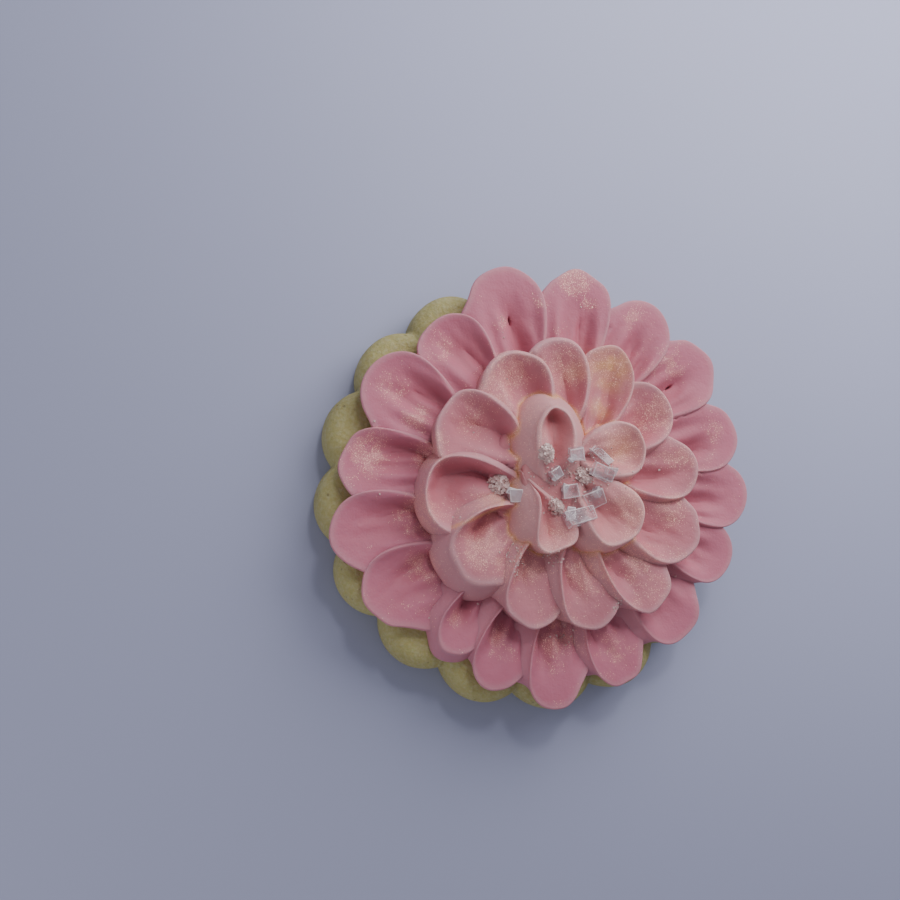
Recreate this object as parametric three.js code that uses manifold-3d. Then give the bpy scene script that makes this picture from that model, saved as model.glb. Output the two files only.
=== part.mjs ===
// Iced sugar cookie: a scalloped biscuit under a flower of royal icing, piped in three tiers.
// Millimetres, +Z up, the origin at the centre of the biscuit's flat underside.
import * as THREE from 'three';
import { mergeVertices } from 'three/addons/utils/BufferGeometryUtils.js';
import Module from 'manifold-3d';

const wasm = await Module();
wasm.setup();

// Biscuit: lobes of one radius set evenly on a circle, with a soft rounded edge
const LOBE_COUNT = 16;
const LOBE_RADIUS = 8.4;
const LOBE_CIRCLE = 31.5;
const LOBE_PHASE = 5.75;
const LOBE_STEPS = 5;
const BISCUIT_THICKNESS = 8.5;
const BISCUIT_LAYERS = [
  { height: 0, inset: 0.7 },
  { height: 0.09, inset: 0.1 },
  { height: 0.4, inset: 0 },
  { height: 0.74, inset: 0.35 },
  { height: 0.92, inset: 1.3 },
  { height: 1, inset: 3.2 },
];

// Icing: the flower lies a little off the biscuit's centre, and every tier keeps a fine gap
const FLOWER_CENTRE = new THREE.Vector2(2.5, 1.2);
const GAP = 0.32;
const RIM = 0.75;
const OUTER_FOOT = BISCUIT_THICKNESS + GAP;
const MIDDLE_FOOT = 10.7;
const INNER_FOOT = 13.8;
const ROOM_TOP = 30;
const CORE_SIDES = 24;
const SIMPLIFY = 0.025;

// Shares of a petal's length where its valley starts and where rim and valley reach full height,
// and the share of the half turn round the rim, from the tip, where it is widest
const VALLEY_START = 0.12;
const FULL_HEIGHT = 0.4;
const WIDEST = 0.38;
const DEGREE = Math.PI / 180;

// Sizes that a tier's petals share: heights are above the table, radii from the flower's centre.
// gape is how far the foot stands outside the rim (above 1) or under it (below 1).
const OUTER_TIER = {
  rootRadius: 17.5,
  coreRadius: 22,
  coreTop: MIDDLE_FOOT - GAP,
  foot: OUTER_FOOT,
  rimTip: 12.3,
  rimRoot: 10.2,
  valleyTip: 10.5,
  valleyRoot: 10.1,
  hollowEnd: 0.7,
  gape: 0.8,
  roll: 0.07,
  egg: 0.42,
  sides: 18,
};
const MIDDLE_TIER = {
  rootRadius: 6.5,
  coreRadius: 13,
  coreTop: INNER_FOOT - GAP,
  foot: MIDDLE_FOOT,
  rimTip: 16.4,
  rimRoot: 13.2,
  valleyTip: 13.2,
  valleyRoot: 13.1,
  hollowEnd: 0.72,
  gape: 0.94,
  roll: 0.08,
  egg: 0.4,
  sides: 18,
};
const INNER_TIER = {
  rootRadius: 0.5,
  coreRadius: 5.2,
  coreTop: 16.6,
  foot: INNER_FOOT,
  rimTip: 20.2,
  rimRoot: 16.9,
  valleyTip: 16.9,
  valleyRoot: 16.2,
  hollowEnd: 0.66,
  gape: 1.12,
  roll: 0.06,
  egg: 0.35,
  sides: 20,
};

// Each petal as piped: its direction in degrees, reach and width, then what sets it apart
const OUTER_PETALS = [
  { turn: 102, reach: 40.6, width: 14.4 },
  { turn: 80, reach: 40.5, width: 13.4 },
  { turn: 57, reach: 40.2, width: 13.6 },
  { turn: 36, reach: 40.2, width: 14 },
  { turn: 15, reach: 38.6, width: 13.2 },
  { turn: 356, reach: 38.9, width: 13 },
  { turn: 336, reach: 37.9, width: 12.6 },
  { turn: 314, reach: 37.4, width: 13 },
  { turn: 291, reach: 38.6, width: 12.6 },
  { turn: 270, reach: 40.2, width: 12.6, lift: 0.5 },
  { turn: 252, reach: 38.6, width: 11.8, lift: 0.6 },
  { turn: 232, reach: 36.2, width: 10, lift: 0.9, bend: 1.2 },
  { turn: 211, reach: 39, width: 13.6 },
  { turn: 192.5, reach: 40.8, width: 13.6 },
  { turn: 175, reach: 39.4, width: 13.4 },
  { turn: 153, reach: 38.8, width: 14.8 },
  { turn: 129, reach: 35.8, width: 13.8 },
];
const MIDDLE_PETALS = [
  { turn: 115, reach: 24.6, width: 13.2 },
  { turn: 92, reach: 25.6, width: 11 },
  { turn: 68, reach: 26.4, width: 10.6 },
  { turn: 40, reach: 24.8, width: 12.2, lift: 0.4 },
  { turn: 7, reach: 26, width: 11.4 },
  { turn: 335, reach: 27, width: 13 },
  { turn: 310, reach: 28.4, width: 12.2 },
  { turn: 284, reach: 27, width: 12.8 },
  { turn: 257, reach: 26.4, width: 12.4 },
  { turn: 218, reach: 26.2, width: 14.6, lift: 0.5 },
  { turn: 188, reach: 25.6, width: 13.8 },
  { turn: 157, reach: 24.8, width: 14.4 },
];
const INNER_PETALS = [
  { turn: 95, reach: 14.6, width: 12.4, lift: 0.8 },
  { turn: 19, reach: 14.4, width: 12.2 },
  { turn: 318, reach: 14.8, width: 13 },
  { turn: 234, reach: 13.2, width: 12.4, lift: 0.6, bend: 2 },
];

// Coarse clear sugar: the middle of each block, its length, width and height, heading and tilt
const HEART_CRYSTALS = [
  { at: [-1.9, 4.9, 17.4], size: [3.8, 3.4, 2.4], heading: 20, tilt: 10 },
  { at: [3.1, 4.9, 17.4], size: [3.4, 2.6, 2.2], heading: 60, tilt: 14 },
  { at: [8.8, 5.2, 18], size: [5.2, 2, 2], heading: 130, tilt: 12 },
  { at: [9.1, 2.3, 17.4], size: [4.2, 2.6, 2.4], heading: 15, tilt: -12 },
  { at: [0.1, 1.7, 17], size: [2.6, 2.2, 2], heading: 35, tilt: 8 },
  { at: [3, -1.4, 17], size: [3.8, 2.8, 2.2], heading: 75, tilt: -8 },
  { at: [7.1, -2.4, 17.5], size: [4.4, 3.4, 2.6], heading: 40, tilt: 12 },
  { at: [0.2, -4.3, 17.3], size: [3, 2.8, 2.4], heading: 15, tilt: 10 },
  { at: [3.8, -6, 17.8], size: [5.6, 3.6, 2], heading: 18, tilt: -10 },
  { at: [-6.1, -1.7, 16.4], size: [2.6, 2.4, 2.2], heading: 5, tilt: 6 },
];
const OUTLYING_CRYSTAL = { at: [-8.9, -0.2, 14.4], size: [3.4, 3.2, 2.4], heading: 30, tilt: 8 };

const BISCUIT_MATERIAL = new THREE.MeshStandardMaterial({ color: 0xc9bd8e, roughness: 0.9, metalness: 0 });
const OUTER_ICING = new THREE.MeshStandardMaterial({ color: 0xe39bb0, roughness: 0.5, metalness: 0 });
const MIDDLE_ICING = new THREE.MeshStandardMaterial({ color: 0xdc98a2, roughness: 0.45, metalness: 0 });
const INNER_ICING = new THREE.MeshStandardMaterial({ color: 0xd9949c, roughness: 0.45, metalness: 0 });

const mix = THREE.MathUtils.lerp;
const smooth = THREE.MathUtils.smoothstep;

// The faces that close a ring: a strip that joins each point to the one across the ring
function capFaces(first, count) {
  const faces = [[0, 1, count - 1]];
  for (let i = 1; i < count / 2 - 1; i++) {
    faces.push([i, i + 1, count - i - 1], [i, count - i - 1, count - i]);
  }
  faces.push([count / 2 - 1, count / 2, count / 2 + 1]);
  return faces.map((face) => face.map((corner) => first + corner));
}

// A closed solid from rings of points, lowest ring first, each ring counter-clockwise from above
function solidFromRings(rings) {
  const count = rings[0].length;
  const faces = capFaces(0, count).map(([a, b, c]) => [a, c, b]);
  for (let level = 0; level + 1 < rings.length; level++) {
    for (let i = 0; i < count; i++) {
      const a = level * count + i;
      const b = level * count + ((i + 1) % count);
      faces.push([a, b, b + count], [a, b + count, a + count]);
    }
  }
  faces.push(...capFaces((rings.length - 1) * count, count));
  return manifoldOf(rings.flat(2), faces.flat());
}

function manifoldOf(coordinates, faces) {
  const mesh = new wasm.Mesh({
    numProp: 3,
    vertProperties: new Float32Array(coordinates),
    triVerts: new Uint32Array(faces),
  });
  return new wasm.Manifold(mesh);
}

// The distance from the biscuit's centre to its edge in one direction: the arc of the nearest lobe
function biscuitEdge(angle, inset) {
  const step = (2 * Math.PI) / LOBE_COUNT;
  const fromLobe = angle - LOBE_PHASE * DEGREE;
  const off = fromLobe - Math.round(fromLobe / step) * step;
  const radius = LOBE_RADIUS - inset;
  return LOBE_CIRCLE * Math.cos(off) + Math.sqrt(radius ** 2 - (LOBE_CIRCLE * Math.sin(off)) ** 2);
}

function biscuitSolid() {
  const count = LOBE_COUNT * LOBE_STEPS;
  const start = (LOBE_PHASE - 180 / LOBE_COUNT) * DEGREE;
  const rings = BISCUIT_LAYERS.map(({ height, inset }) =>
    Array.from({ length: count }, (_, i) => {
      const angle = start + (2 * Math.PI * i) / count;
      const radius = biscuitEdge(angle, Math.min(inset, 1.6)) - Math.max(0, inset - 1.6);
      return [radius * Math.cos(angle), radius * Math.sin(angle), BISCUIT_THICKNESS * height];
    })
  );
  return solidFromRings(rings);
}

// The plan of a petal: for each point round its rim, from the tip counter-clockwise, how far it is
// along from the root (0) to the tip (1), where it lies, and its point on the spine under the valley
function petalPlan(tier, petal) {
  const length = petal.reach - tier.rootRadius;
  const width = (around) => Math.sin(around) * (1 + tier.egg * Math.cos(around));
  const widest = width(Math.PI * WIDEST);
  return Array.from({ length: tier.sides }, (_, i) => {
    const around = (2 * Math.PI * i) / tier.sides;
    const along = (1 + Math.cos(around)) / 2;
    const out = tier.rootRadius + length * along;
    const side = ((petal.width / 2) * width(around)) / widest;
    const spine = tier.rootRadius + length * mix(VALLEY_START, tier.hollowEnd, along);
    return { along, out, side, spine, reach: Math.hypot(out - spine, side) };
  });
}

// One ring of a petal: share is how far from the spine (0) to the rim (1), plus a step in millimetres
function petalRing(petal, plan, share, step, height) {
  return plan.map((point) => {
    const part = share + step / point.reach;
    const side = point.side * part + (petal.bend ?? 0) * Math.sin(Math.PI * point.along);
    return place(petal, mix(point.spine, point.out, part), side, height(point.along, side));
  });
}

function rimHeight(tier, petal) {
  const tip = tier.rimTip + (petal.lift ?? 0);
  return (along, side) => mix(tier.rimRoot, tip, smooth(along, 0, FULL_HEIGHT)) - tier.roll * side;
}

// One petal: a cupped horseshoe whose floor closes to a valley towards the root.
// Its rings run from the foot over the rim and down into the valley.
function petalSolid(tier, petal) {
  const plan = petalPlan(tier, petal);
  const rim = rimHeight(tier, petal);
  const floor = (along) => mix(tier.valleyRoot, tier.valleyTip, smooth(along, 0, FULL_HEIGHT));
  const under = (drop) => (along, side) => rim(along, side) - drop;
  const cup = (share) => (along, side) => mix(floor(along), rim(along, side), share ** mix(1.1, 1.9, along));
  const ring = (share, step, height) => petalRing(petal, plan, share, step, height);
  return solidFromRings([
    ring(tier.gape, 0, () => tier.foot),
    ring(1, RIM / 2, under(RIM * 0.7)),
    ring(1, 0, rim),
    ring(1, -RIM / 2, under(RIM * 0.3)),
    ring(0.6, 0, cup(0.64)),
    ring(0.3, 0, cup(0.33)),
    ring(0.04, 0, floor),
  ]);
}

// The room that a petal takes up in the tier below, with the fine gap round it
function petalRoom(tier, petal) {
  const plan = petalPlan(tier, petal);
  const rim = rimHeight(tier, petal);
  return solidFromRings([
    petalRing(petal, plan, tier.gape, GAP, () => tier.foot - GAP),
    petalRing(petal, plan, 1, RIM / 2 + GAP, (along, side) => rim(along, side) - RIM * 0.7),
    petalRing(petal, plan, 1, RIM / 2 + GAP, () => ROOM_TOP),
  ]);
}

// From a petal's own outward and sideways distances to the frame of the cookie
function place(petal, out, side, height) {
  const c = Math.cos(petal.turn * DEGREE);
  const s = Math.sin(petal.turn * DEGREE);
  return [FLOWER_CENTRE.x + out * c - side * s, FLOWER_CENTRE.y + out * s + side * c, height];
}

function manifoldFromGeometry(geometry) {
  geometry.deleteAttribute('normal');
  geometry.deleteAttribute('uv');
  const merged = mergeVertices(geometry, 1e-5);
  return manifoldOf(merged.attributes.position.array, merged.index.array);
}

// The mound of icing that a tier's petals share, and that the next tier stands on
function coreSolid(tier, grow, top) {
  const foot = tier.foot - grow;
  const core = new THREE.CylinderGeometry(tier.coreRadius + grow, tier.coreRadius + grow, top - foot, CORE_SIDES);
  core.rotateX(Math.PI / 2);
  core.translate(FLOWER_CENTRE.x, FLOWER_CENTRE.y, (top + foot) / 2);
  return manifoldFromGeometry(core);
}

function tierSolid(tier, petals) {
  return petals.reduce((whole, petal) => whole.add(petalSolid(tier, petal)), coreSolid(tier, 0, tier.coreTop));
}

function tierRoom(tier, petals) {
  return petals.reduce((whole, petal) => whole.add(petalRoom(tier, petal)), coreSolid(tier, GAP, ROOM_TOP));
}

function crystalSolid({ at, size, heading, tilt }) {
  const crystal = new THREE.BoxGeometry(...size);
  crystal.rotateX(tilt * DEGREE);
  crystal.rotateZ(heading * DEGREE);
  crystal.translate(...at);
  return manifoldFromGeometry(crystal);
}

// The one body that a boolean leaves of worth, with slivers taken out
function largestBody(solid) {
  return solid
    .simplify(SIMPLIFY)
    .decompose()
    .reduce((best, body) => (body.volume() > best.volume() ? body : best));
}

function meshFrom(solid, name, material) {
  const mesh = solid.getMesh();
  const geometry = new THREE.BufferGeometry();
  geometry.setAttribute('position', new THREE.BufferAttribute(mesh.vertProperties, 3));
  geometry.setIndex(new THREE.BufferAttribute(mesh.triVerts, 1));
  geometry.computeVertexNormals();
  const part = new THREE.Mesh(geometry, material);
  part.name = name;
  return part;
}

const middleRoom = tierRoom(MIDDLE_TIER, MIDDLE_PETALS);
const innerRoom = tierRoom(INNER_TIER, INNER_PETALS);
const outer = tierSolid(OUTER_TIER, OUTER_PETALS).subtract(middleRoom);
const middle = tierSolid(MIDDLE_TIER, MIDDLE_PETALS).add(crystalSolid(OUTLYING_CRYSTAL)).subtract(innerRoom);
const inner = HEART_CRYSTALS.reduce(
  (whole, crystal) => whole.add(crystalSolid(crystal)),
  tierSolid(INNER_TIER, INNER_PETALS)
);

const cookie = new THREE.Group();
cookie.add(
  meshFrom(biscuitSolid(), 'biscuit', BISCUIT_MATERIAL),
  meshFrom(largestBody(outer), 'outer_petals', OUTER_ICING),
  meshFrom(largestBody(middle), 'middle_petals', MIDDLE_ICING),
  meshFrom(largestBody(inner), 'inner_petals', INNER_ICING)
);

export default cookie;
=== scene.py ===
"""Iced sugar cookie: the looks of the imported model, laid out as an add-on and run as a script."""

import math
import random

import bmesh
import bpy
import numpy as np
from bpy.props import FloatProperty, FloatVectorProperty, IntProperty, PointerProperty
from mathutils import Euler, Matrix, Vector, noise
from mathutils.bvhtree import BVHTree


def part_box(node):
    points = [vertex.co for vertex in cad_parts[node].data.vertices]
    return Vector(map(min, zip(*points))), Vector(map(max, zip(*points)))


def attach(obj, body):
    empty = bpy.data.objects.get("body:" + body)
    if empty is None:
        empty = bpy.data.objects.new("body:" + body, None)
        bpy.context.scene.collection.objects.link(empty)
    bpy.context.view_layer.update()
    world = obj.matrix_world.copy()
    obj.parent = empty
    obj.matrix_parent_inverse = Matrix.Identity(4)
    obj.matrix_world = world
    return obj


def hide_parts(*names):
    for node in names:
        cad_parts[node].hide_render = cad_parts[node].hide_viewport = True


bl_info = {
    "name": "Iced Sugar Cookie",
    "version": (1, 0, 0),
    "blender": (4, 5, 0),
    "location": "View3D > Sidebar > Cookie",
    "description": "Builds a scalloped biscuit, its piped royal icing flower and its sugar",
    "category": "Add Mesh",
}

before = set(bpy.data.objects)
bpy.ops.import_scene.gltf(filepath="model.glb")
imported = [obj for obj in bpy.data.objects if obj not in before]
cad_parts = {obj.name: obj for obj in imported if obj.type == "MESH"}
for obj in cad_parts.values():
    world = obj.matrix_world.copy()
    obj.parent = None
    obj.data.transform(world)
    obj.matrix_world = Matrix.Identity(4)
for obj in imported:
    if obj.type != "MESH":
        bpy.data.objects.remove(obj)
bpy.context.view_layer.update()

MM = 0.001
TAU = 2 * math.pi

# Biscuit, in millimetres, as in the model's source
LOBES = 16
LOBE_RADIUS = 8.4
LOBE_CIRCLE = 31.5
LOBE_PHASE = 5.75
BISCUIT_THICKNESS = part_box("biscuit")[1][2] / MM

# Its edge: how uneven, how far inside the source's and how wavy in height, in millimetres
EDGE_UNEVEN = 0.09
EDGE_INSET = 0.12
EDGE_DIP = 0.04
# Softening of the notches between lobes, in radians
NOTCH_BLUR = 0.014
# A stretch of the edge that is worn back: direction and spread in degrees, depth in millimetres
WORN_DIRECTION = 236
WORN_SPREAD = 28
WORN_DEPTH = 0.8
# Its profile: the round of the foot, the bulge and top of the side, the round and fall of the shoulder
FOOT_ROUND = 0.7
SIDE_BULGE = 0.12
SIDE_TOP = 5.1
TOP_ROUND = 3.2
TOP_FALL = 3.4
# Inset up to which the lobes' arcs shrink; further in, the outline keeps its lobes and only comes closer
LOBE_INSET = 1.6

# Icing: where the flower's middle stands on the biscuit, in millimetres
FLOWER = np.array([2.5, 1.2])
# What all petals share, as shares of a petal's length or width
VALLEY_START = 0.12
FULL_HEIGHT = 0.4
WIDEST = 0.38
EDGE_WAVE = 0.018
# What they share in millimetres: uneven rims, beads on the walls, the depth that counts as full, lumps
RIM_WAVE = 0.25
BEAD_BELOW_RIM = 1.9
BEAD_SPREAD = 0.4
FULL_DEPTH = 2.2
LUMP_HEIGHT = 0.35
LUMP_LENGTH = 4.5
LUMP_WIDTH = 2
# Pin-holes: how far in from the place a petal swings about, their length and width
PINHOLE_PLACE = 3
PINHOLE_LENGTH = 0.5
PINHOLE_WIDTH = 0.15
# How far below a neighbour's top a tucked edge ends, and the most petals that stand without being tucked
TUCK_GAP = 0.3
MOST_FREE = 4
# Rows of points up the wall, over the rim and down into the hollow
WALL_ROWS = 10
LIP_ROWS = 7
CUP_ROWS = 30

# What sets a petal's shape, in millimetres unless a line says something else.
# A petal is made lying along X from its root to its reach, and then turned, in degrees, and shifted.
# Its left side is the one further round the flower, counter-clockwise from above.
# foot, core and core_top: the height the petals start at, the radius and the height of the mound.
# hollow and lean: where the valley ends along the petal and to its side, as shares of length and width.
# egg and narrow: how the outline tapers to the root, as a share and a power.
# swing, bend and sway: how the petal turns, in degrees, and curves to its side.
# ridge and slump: how far the right rim rises and the left one falls.
# lift and droop: how far the tip rises and falls.
# bowl: how early the hollow falls from the tip's rim, from 0, late, to 1, at once.
# belly, arch and pleat: how far the hollow bulges at the left, at the tip and in pleats.
# thick_root and thick_tip: the width of the rounded rim.
# flare, skirt and undercut: how far the foot stands out at the right and the left, and in at the tip.
# bead, spread and pinhole: a bead along the wall, a wider left side as a share, a pin-hole's depth.
PLAIN_PETAL = dict(
    lift=0, swing=0, bend=0, sway=0, pinhole=0, shift=(0, 0), narrow=0, skirt=0, spread=0, droop=0, arch=0,
    pleat=0.1,
)
OUTER_TIER = dict(
    root=17.5, core=22.5, core_top=10.3, foot=8.62,
    rim_tip=11.7, rim_root=11.1, valley_tip=9.6, valley_root=10.1, hollow=0.54, lean=-0.14,
    ridge=0.2, slump=0.8, belly=0.6, bowl=0.2, arch=0.3, droop=0.4, egg=0.42,
    thick_root=0.9, thick_tip=0.3, flare=1.2, undercut=0.9, bead=0.5, spread=0.5, pleat=0.5,
)
MIDDLE_TIER = dict(
    root=6.5, core=13, core_top=14.2, foot=10.3,
    rim_tip=16, rim_root=15.2, valley_tip=13.5, valley_root=14.1, hollow=0.58, lean=-0.14,
    ridge=0.7, slump=1.1, belly=0.7, bowl=0.5, egg=0.4,
    thick_root=1.2, thick_tip=0.4, flare=1.8, undercut=0.5, bead=0.5, spread=0.5, pleat=0.38,
)
INNER_TIER = dict(
    root=0.5, core=8, core_top=17.1, foot=13.3,
    rim_tip=19.6, rim_root=18, valley_tip=17.1, valley_root=17, hollow=0.62, lean=-0.1,
    ridge=0.5, slump=0.6, belly=0.3, bowl=0.8, egg=0.35,
    thick_root=1.6, thick_tip=0.6, flare=1.5, undercut=0, bead=0,
)

# What the petals share that fold over along the bottom of the photograph
OUTER_FOLD = dict(
    rim_root=11.7, valley_tip=9.8, lean=-0.28, slump=2.2, thick_root=0.7, thick_tip=0.4, belly=0.35,
)
MIDDLE_FOLD = dict(
    valley_tip=14, lean=-0.26, ridge=0.9, slump=2.4, thick_root=0.8, belly=0.5, arch=0.5, flare=5,
)

# Petals as piped: direction in degrees, reach and width, then what sets each apart
OUTER_PETALS = [
    dict(turn=105, reach=40.6, width=14.6, pinhole=2.8, lean=-0.02, valley_tip=9.2),
    dict(turn=81, reach=40.5, width=13.4, swing=4, lean=-0.08),
    dict(turn=58.5, reach=40.2, width=13.2, lean=-0.08),
    dict(turn=38.5, reach=40.6, width=14, pinhole=2.8, lean=-0.04, swing=-4),
    dict(turn=16.5, reach=38.8, width=13),
    dict(turn=357, reach=39.2, width=12.8),
    dict(turn=337.5, reach=38, width=12.2, flare=2, droop=0.6, slump=1),
    dict(turn=313.5, reach=38, width=12.8, flare=4, droop=0.9, slump=1.8, thick_root=0.9, belly=0.4),
    dict(OUTER_FOLD, turn=290.5, reach=38.6, width=10.8, flare=5, droop=1.1, ridge=0.4, arch=0.5),
    dict(
        OUTER_FOLD, turn=269.5, reach=40.2, width=10.8, lift=0.5, swing=-4, flare=5.4, ridge=0.7,
        droop=1.4, arch=0.6,
    ),
    dict(
        OUTER_FOLD, turn=251.5, reach=38.6, width=10.2, lift=0.6, swing=-6, flare=5.4, ridge=0.9,
        droop=1.4, arch=0.6,
    ),
    dict(
        turn=236, reach=36.2, width=8.6, lift=0.7, ridge=1.1, slump=1.8, lean=-0.2, flare=5,
        undercut=-1.4, thick_root=0.8, thick_tip=0.5, rim_root=11.7, belly=0.4,
    ),
    dict(
        turn=214, reach=40.6, width=13.4, lean=-0.16, swing=-12, droop=0.9, arch=0.1, slump=1.4,
        valley_tip=9, bowl=0.5,
    ),
    dict(
        turn=196, reach=41.6, width=13.8, lean=-0.18, swing=-8, droop=0.9, arch=0.1, slump=1.2,
        valley_tip=9.1, bowl=0.5,
    ),
    dict(
        turn=177, reach=39, width=13.4, lean=-0.2, swing=4, droop=0.6, arch=0.1,
        valley_tip=9.1, bowl=0.5,
    ),
    dict(turn=152.5, reach=38.8, width=15, lean=-0.14, droop=0.3, valley_tip=9.3, arch=0.1, bowl=0.4),
    dict(turn=129, reach=36, width=13.8, lean=-0.16, swing=6, bowl=0.9, valley_tip=9.3),
]
MIDDLE_PETALS = [
    dict(turn=116.5, reach=24.4, width=13.2, swing=-4, thick_tip=0.8, valley_tip=13, bowl=1),
    dict(turn=92, reach=25.6, width=12, swing=6, thick_tip=0.8),
    dict(turn=65, reach=26.6, width=10.8, swing=10, lean=-0.18),
    dict(turn=38, reach=25.4, width=12.4, lift=0.4),
    dict(turn=6, reach=26.6, width=11.4, swing=-4),
    dict(turn=337, reach=28, width=13.2, flare=3.6, slump=1.8, belly=0.8),
    dict(MIDDLE_FOLD, turn=310, reach=29, width=11.4, droop=0.8),
    dict(MIDDLE_FOLD, turn=283, reach=27, width=11.4, droop=0.9),
    dict(MIDDLE_FOLD, turn=255.5, reach=26.6, width=11.4, droop=0.9),
    dict(
        turn=221.5, reach=25.4, width=12.8, lift=0.5, flare=5, undercut=-2.4, droop=0.4, arch=0.5,
        slump=2.4, belly=0.9, lean=-0.3, bowl=0.2, ridge=1.2, thick_root=1, thick_tip=0.9, valley_tip=13,
    ),
    dict(
        turn=190, reach=25.4, width=14, flare=2.2, undercut=-1, lean=-0.28, bowl=1, hollow=0.74,
        valley_tip=12.3,
    ),
    dict(turn=156, reach=24.8, width=14.8, lean=-0.14, swing=6, ridge=1.1, valley_tip=13.1),
]
INNER_PETALS = [
    dict(
        shift=(-2.7, -0.2), turn=89, root=-1.6, reach=12.4, width=7.4, egg=0.12, lift=0.4, lean=-0.02,
        hollow=0.86, thick_root=0.8, thick_tip=0.7, ridge=0.2, slump=0.2, belly=0, bowl=1.5,
        rim_root=17.3, valley_root=18, valley_tip=17.3, flare=3.8, skirt=3, undercut=-3.2,
    ),
    dict(
        shift=(3, 3.6), turn=12, root=-1, reach=11.6, width=10, egg=0.2, thick_root=0.6, thick_tip=0.4,
        lift=-0.3, flare=1.6, undercut=-0.4, bowl=1,
    ),
    dict(
        shift=(3.4, -1.6), turn=314, root=-1.5, reach=12, width=11.4, egg=0.3, thick_root=0.6, thick_tip=0.4,
        lift=-0.1, flare=2.8, undercut=-1, bowl=0.9,
    ),
    dict(
        shift=(-6.6, 1.2), turn=288, root=-0.5, reach=15, width=10.6, egg=0.62, narrow=0.9, bend=0.9,
        thick_root=0.5, thick_tip=0.4, sway=1.6, rim_root=16.8, lift=-0.5, ridge=0.8, slump=1.4, hollow=0.78,
        bowl=0.4, flare=4.6, undercut=0.3, lean=-0.05,
    ),
]

# Coarse sugar: place over the flower, length, width and height, heading and tilt
CRYSTALS = [
    dict(at=(3.1, 4.9), size=(3.2, 2.4, 2), heading=8, tilt=14),
    dict(at=(8.6, 5), size=(5.4, 1.9, 2), heading=140, tilt=22),
    dict(at=(8.3, 2), size=(4.4, 2.8, 2), heading=155, tilt=-10),
    dict(at=(0.1, 1.7), size=(2.2, 2, 1.9), heading=35, tilt=8),
    dict(at=(3, -1.4), size=(3.4, 2.6, 1.9), heading=10, tilt=-8),
    dict(at=(7, -2.6), size=(4, 3.2, 2.4), heading=25, tilt=12),
    dict(at=(4.2, -5.8), size=(5.8, 3.2, 2), heading=14, tilt=-10),
    dict(at=(-6.6, -2.2), size=(2.6, 2.9, 2), heading=5, tilt=6),
]
CLUMPS = [
    dict(at=(-1.9, 4.9), width=3, height=1.8),
    dict(at=(0.2, -4.1), width=2.6, height=1.8),
    dict(at=(-8.9, -0.2), width=3.4, height=2),
    dict(at=(5.6, 1.6), width=2.6, height=0.9),
]
# Where golden dust has gathered: along a seam, and in patches of some spread and strength
GILT_SEAM = np.array([(-17.4, -7.7), (-14.7, -6.5), (-12.4, -5.6), (-10, -4.6), (-8.4, -2.6)])
GILT_PATCHES = [
    (12.2, 21.5, 3.6, 1), (10.5, 14, 2, 0.7), (12.5, 6.5, 2.4, 0.45), (5.5, 20.5, 2.2, 0.3),
    (-10, -3, 2, 0.3),
]
# Widths of the golden seam and joint, and how far from a joint its dust reaches
SEAM_WIDTH = 0.3
JOINT_WIDTH = 0.42
JOINT_REACH = 0.9
# Where pearl dust lies, the same way: the outer tier's patches, the middle tier's and the heart's
DUST_PATCHES = [
    (7, 39, 3.4, 1), (10, 35, 1.9, 0.6), (19, 33, 2.7, 0.6), (27, 24, 2.4, 0.4), (35, 12, 2.1, 0.5),
    (14, -29, 2.3, 0.7), (3, -27, 3.3, 1), (-8, -27, 2.3, 0.6), (-16, -23, 1.7, 0.5), (-22, -14, 3.1, 0.6),
    (-23, -6, 3.5, 0.8),
    (-31, 5, 3.9, 0.9), (-21, 5, 2.7, 0.8), (-27, 17, 3.3, 0.6), (-23, 12, 2.5, 0.8), (-18, 25, 2.5, 0.5),
    (-7, 30, 1.7, 0.6), (0, 34, 1.7, 0.5),
    (-7, 19, 3.7, 1), (3, 21, 3.1, 1), (20, 13, 2.9, 1), (25, 6, 2.3, 0.6), (23, -4, 2.7, 0.8),
    (17, -13, 2.9, 0.8), (7, -15, 3.3, 1), (-4, -14, 3.3, 0.8), (-12, -11, 3.7, 1), (-14, 11, 3.3, 0.5),
    (-18, -4, 2.3, 0.4),
    (12, 7, 3.1, 1), (14, -4, 3.1, 1), (0, -9, 2.4, 0.8),
]
# The heart's place and the flower's radius in metres, from which haze and coolness are measured
HEART = ((FLOWER[0] + 3) * MM, FLOWER[1] * MM, 0.015)
FLOWER_RADIUS = 0.042
FLECKS_PER_METRE = 6500
# Colour of the painted sparkle on the brightest flecks
FLECK_PAINTED_SPARKLE = (1, 0.62, 0.47, 1)
# Where fine sugar lies in patches: place and spread, on surfaces that face up by more than this share
SUGAR_PATCHES = [
    (12.2, -21.5, 1.1), (-6.5, -13, 1.6), (4.5, -26.5, 0.9), (0.5, -12.6, 1), (-7, 31, 0.5), (-7, 27.9, 0.5),
    (9, 3, 2), (3, 0, 3),
]
UPWARD = 0.35
# Blocks of sugar: their size, the unevenness of their corners and how proud they stand, as shares
CRYSTAL_SCALE = 0.92
CORNERS = (0.74, 1.12)
PROUD = 0.24
# Their rounded edge and the strip beside it that gets a painted highlight, in millimetres
BEVEL = 0.16
HIGHLIGHT_STRIP = 0.1
# Grains in a clump, and their sizes in millimetres
GRAINS_IN_CLUMP = 90
GRAIN_SIZES = (0.35, 0.8)
# The smaller block grown on each: how far off sideways and up, its size, and how far it leans and turns
GROWN_SIDEWAYS = 0.3
GROWN_UP = 0.12
GROWN_SIZES = (0.45, 0.7)
GROWN_LEAN = 0.4
GROWN_TURNS = (0.3, 1.2)
# Colours of the sugar, and of the painted highlight along the blocks' edges
COARSE_TINT = (0.76, 0.66, 0.74)
FINE_TINT = (0.95, 0.71, 0.69)
EDGE_PAINTED_HIGHLIGHT = (1, 0.96, 0.97, 1)

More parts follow.
